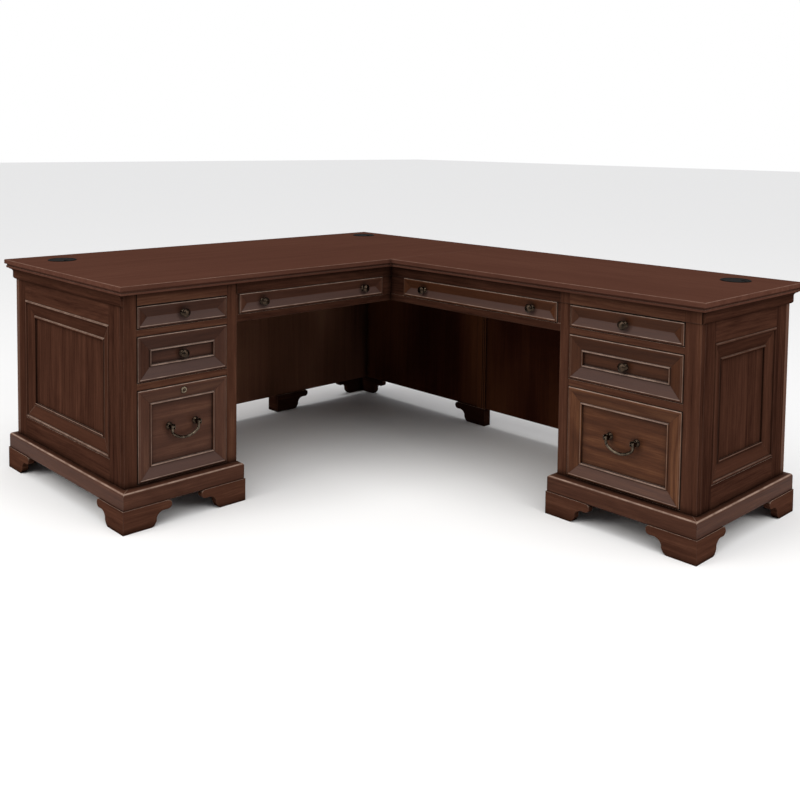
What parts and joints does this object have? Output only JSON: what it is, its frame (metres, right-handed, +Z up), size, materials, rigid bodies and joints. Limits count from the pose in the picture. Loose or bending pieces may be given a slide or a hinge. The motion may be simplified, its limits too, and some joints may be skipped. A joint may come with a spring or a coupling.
{
  "type": "corner desk",
  "caption": "L-shaped executive desk: a pedestal desk and matching return with panelled sides, bracket feet, drawers and kneeholes.",
  "frame": {"origin": "on the floor, under the middle of the whole footprint's box", "axes": "+Z up, +X along the return away from the desk (the desk's drawers open this way), +Y from the desk's free end to its corner end (the return's drawers open towards -Y)"},
  "size_m": [2.152, 1.74, 0.7646],
  "materials": {
    "cherry_top": "semi-gloss stained cherry veneer, grain along each wing",
    "cherry_frame": "semi-gloss stained cherry with dark glaze in the recesses",
    "cherry_front": "semi-gloss stained cherry with burnished edges",
    "cherry_case": "satin stained wood",
    "drawer_wood": "clear satin hardwood",
    "aged_bronze": "dark antique bronze, rubbed on the high spots",
    "lock_brass": "aged satin brass",
    "black_plastic": "fine matte black moulded plastic",
    "zinc_steel": "zinc-plated steel"
  },
  "bodies": {
    "carcase": {"cornice_moulding": "cherry_frame", "desk_apron": "cherry_frame", "desk_case_boards": "cherry_case", "desk_end_panel": "cherry_frame", "desk_face_frame": "cherry_frame", "desk_feet": "cherry_frame", "desk_modesty_panel": "cherry_frame", "desk_pedestal_back": "cherry_frame", "desk_plinth": "cherry_frame", "desk_side_frame": "cherry_frame", "desk_side_panel": "cherry_frame", "desk_top": "cherry_top", "drawer_runners": "zinc_steel", "grommet_sleeves": "black_plastic", "joining_brackets": "zinc_steel", "return_apron": "cherry_frame", "return_case_boards": "cherry_case", "return_face_frame": "cherry_frame", "return_feet": "cherry_frame", "return_modesty_panel": "cherry_frame", "return_pedestal_back": "cherry_frame", "return_plinth": "cherry_frame", "return_side_frame": "cherry_frame", "return_side_panel": "cherry_frame", "return_top": "cherry_top"},
    "desk_file_drawer": {"desk_file_drawer_box": "drawer_wood", "desk_file_drawer_front": "cherry_front", "desk_file_drawer_pull_posts": "aged_bronze", "desk_file_slide_inner": "zinc_steel", "desk_lock_housing": "aged_bronze"},
    "desk_middle_drawer": {"desk_middle_drawer_box": "drawer_wood", "desk_middle_drawer_front": "cherry_front", "desk_middle_drawer_knob": "aged_bronze"},
    "desk_upper_drawer": {"desk_upper_drawer_box": "drawer_wood", "desk_upper_drawer_front": "cherry_front", "desk_upper_drawer_knob": "aged_bronze"},
    "desk_pencil_drawer": {"desk_pencil_drawer_box": "drawer_wood", "desk_pencil_drawer_front": "cherry_front", "desk_pencil_drawer_knobs": "aged_bronze"},
    "desk_file_slide_middle": {"desk_file_slide_middle": "zinc_steel"},
    "desk_file_drawer_bail": {"desk_file_drawer_bail": "aged_bronze"},
    "return_file_drawer": {"return_file_drawer_box": "drawer_wood", "return_file_drawer_front": "cherry_front", "return_file_drawer_pull_posts": "aged_bronze", "return_file_slide_inner": "zinc_steel"},
    "return_middle_drawer": {"return_middle_drawer_box": "drawer_wood", "return_middle_drawer_front": "cherry_front", "return_middle_drawer_knob": "aged_bronze"},
    "return_upper_drawer": {"return_upper_drawer_box": "drawer_wood", "return_upper_drawer_front": "cherry_front", "return_upper_drawer_knob": "aged_bronze"},
    "return_pencil_drawer": {"return_pencil_drawer_box": "drawer_wood", "return_pencil_drawer_front": "cherry_front", "return_pencil_drawer_knobs": "aged_bronze"},
    "return_file_slide_middle": {"return_file_slide_middle": "zinc_steel"},
    "return_file_drawer_bail": {"return_file_drawer_bail": "aged_bronze"},
    "desk_lock_plug": {"desk_lock_plug": "lock_brass"},
    "desk_end_grommet_cap": {"desk_end_grommet_cap": "black_plastic"},
    "corner_grommet_cap": {"corner_grommet_cap": "black_plastic"},
    "return_end_grommet_cap": {"return_end_grommet_cap": "black_plastic"}
  },
  "joints": [
    {"name": "desk_file_drawer_slide", "type": "slide", "parent": "carcase", "child": "desk_file_drawer", "axis": [1, 0, 0], "range_m": [0, 0.48]},
    {"name": "desk_middle_drawer_slide", "type": "slide", "parent": "carcase", "child": "desk_middle_drawer", "axis": [1, 0, 0], "range_m": [0, 0.4]},
    {"name": "desk_upper_drawer_slide", "type": "slide", "parent": "carcase", "child": "desk_upper_drawer", "axis": [1, 0, 0], "range_m": [0, 0.4]},
    {"name": "desk_pencil_drawer_slide", "type": "slide", "parent": "carcase", "child": "desk_pencil_drawer", "axis": [1, 0, 0], "range_m": [0, 0.3]},
    {"name": "desk_file_slide_middle_travel", "type": "slide", "parent": "carcase", "child": "desk_file_slide_middle", "axis": [1, 0, 0], "range_m": [0, 0.24]},
    {"name": "desk_file_drawer_bail_swing", "type": "hinge", "parent": "desk_file_drawer", "child": "desk_file_drawer_bail", "pos_m": [-0.241, -0.631, 0.295], "axis": [0, -1, 0], "range_deg": [0, 95]},
    {"name": "return_file_drawer_slide", "type": "slide", "parent": "carcase", "child": "return_file_drawer", "axis": [0, -1, 0], "range_m": [0, 0.42]},
    {"name": "return_middle_drawer_slide", "type": "slide", "parent": "carcase", "child": "return_middle_drawer", "axis": [0, -1, 0], "range_m": [0, 0.33]},
    {"name": "return_upper_drawer_slide", "type": "slide", "parent": "carcase", "child": "return_upper_drawer", "axis": [0, -1, 0], "range_m": [0, 0.33]},
    {"name": "return_pencil_drawer_slide", "type": "slide", "parent": "carcase", "child": "return_pencil_drawer", "axis": [0, 1, 0], "range_m": [-0.28, 0]},
    {"name": "return_file_slide_middle_travel", "type": "slide", "parent": "carcase", "child": "return_file_slide_middle", "axis": [0, -1, 0], "range_m": [0, 0.21]},
    {"name": "return_file_drawer_bail_swing", "type": "hinge", "parent": "return_file_drawer", "child": "return_file_drawer_bail", "pos_m": [0.7875, 0.263, 0.295], "axis": [-1, 0, 0], "range_deg": [0, 95]},
    {"name": "desk_lock_turn", "type": "hinge", "parent": "desk_file_drawer", "child": "desk_lock_plug", "pos_m": [-0.251, -0.631, 0.404], "axis": [1, 0, 0], "range_deg": [0, 90]},
    {"name": "desk_end_grommet_cap_turn", "type": "hinge", "parent": "carcase", "child": "desk_end_grommet_cap", "pos_m": [-0.926, -0.721, 0.762], "axis": [0, 0, 1], "continuous": true},
    {"name": "corner_grommet_cap_turn", "type": "hinge", "parent": "carcase", "child": "corner_grommet_cap", "pos_m": [-0.945, 0.751, 0.762], "axis": [0, 0, 1], "continuous": true},
    {"name": "return_end_grommet_cap_turn", "type": "hinge", "parent": "carcase", "child": "return_end_grommet_cap", "pos_m": [0.912, 0.729, 0.762], "axis": [0, 0, 1], "continuous": true}
  ],
  "couplings": [
    {"joint": "desk_file_slide_middle_travel", "follows": "desk_file_drawer_slide", "ratio": 0.5},
    {"joint": "return_file_slide_middle_travel", "follows": "return_file_drawer_slide", "ratio": 0.5}
  ]
}
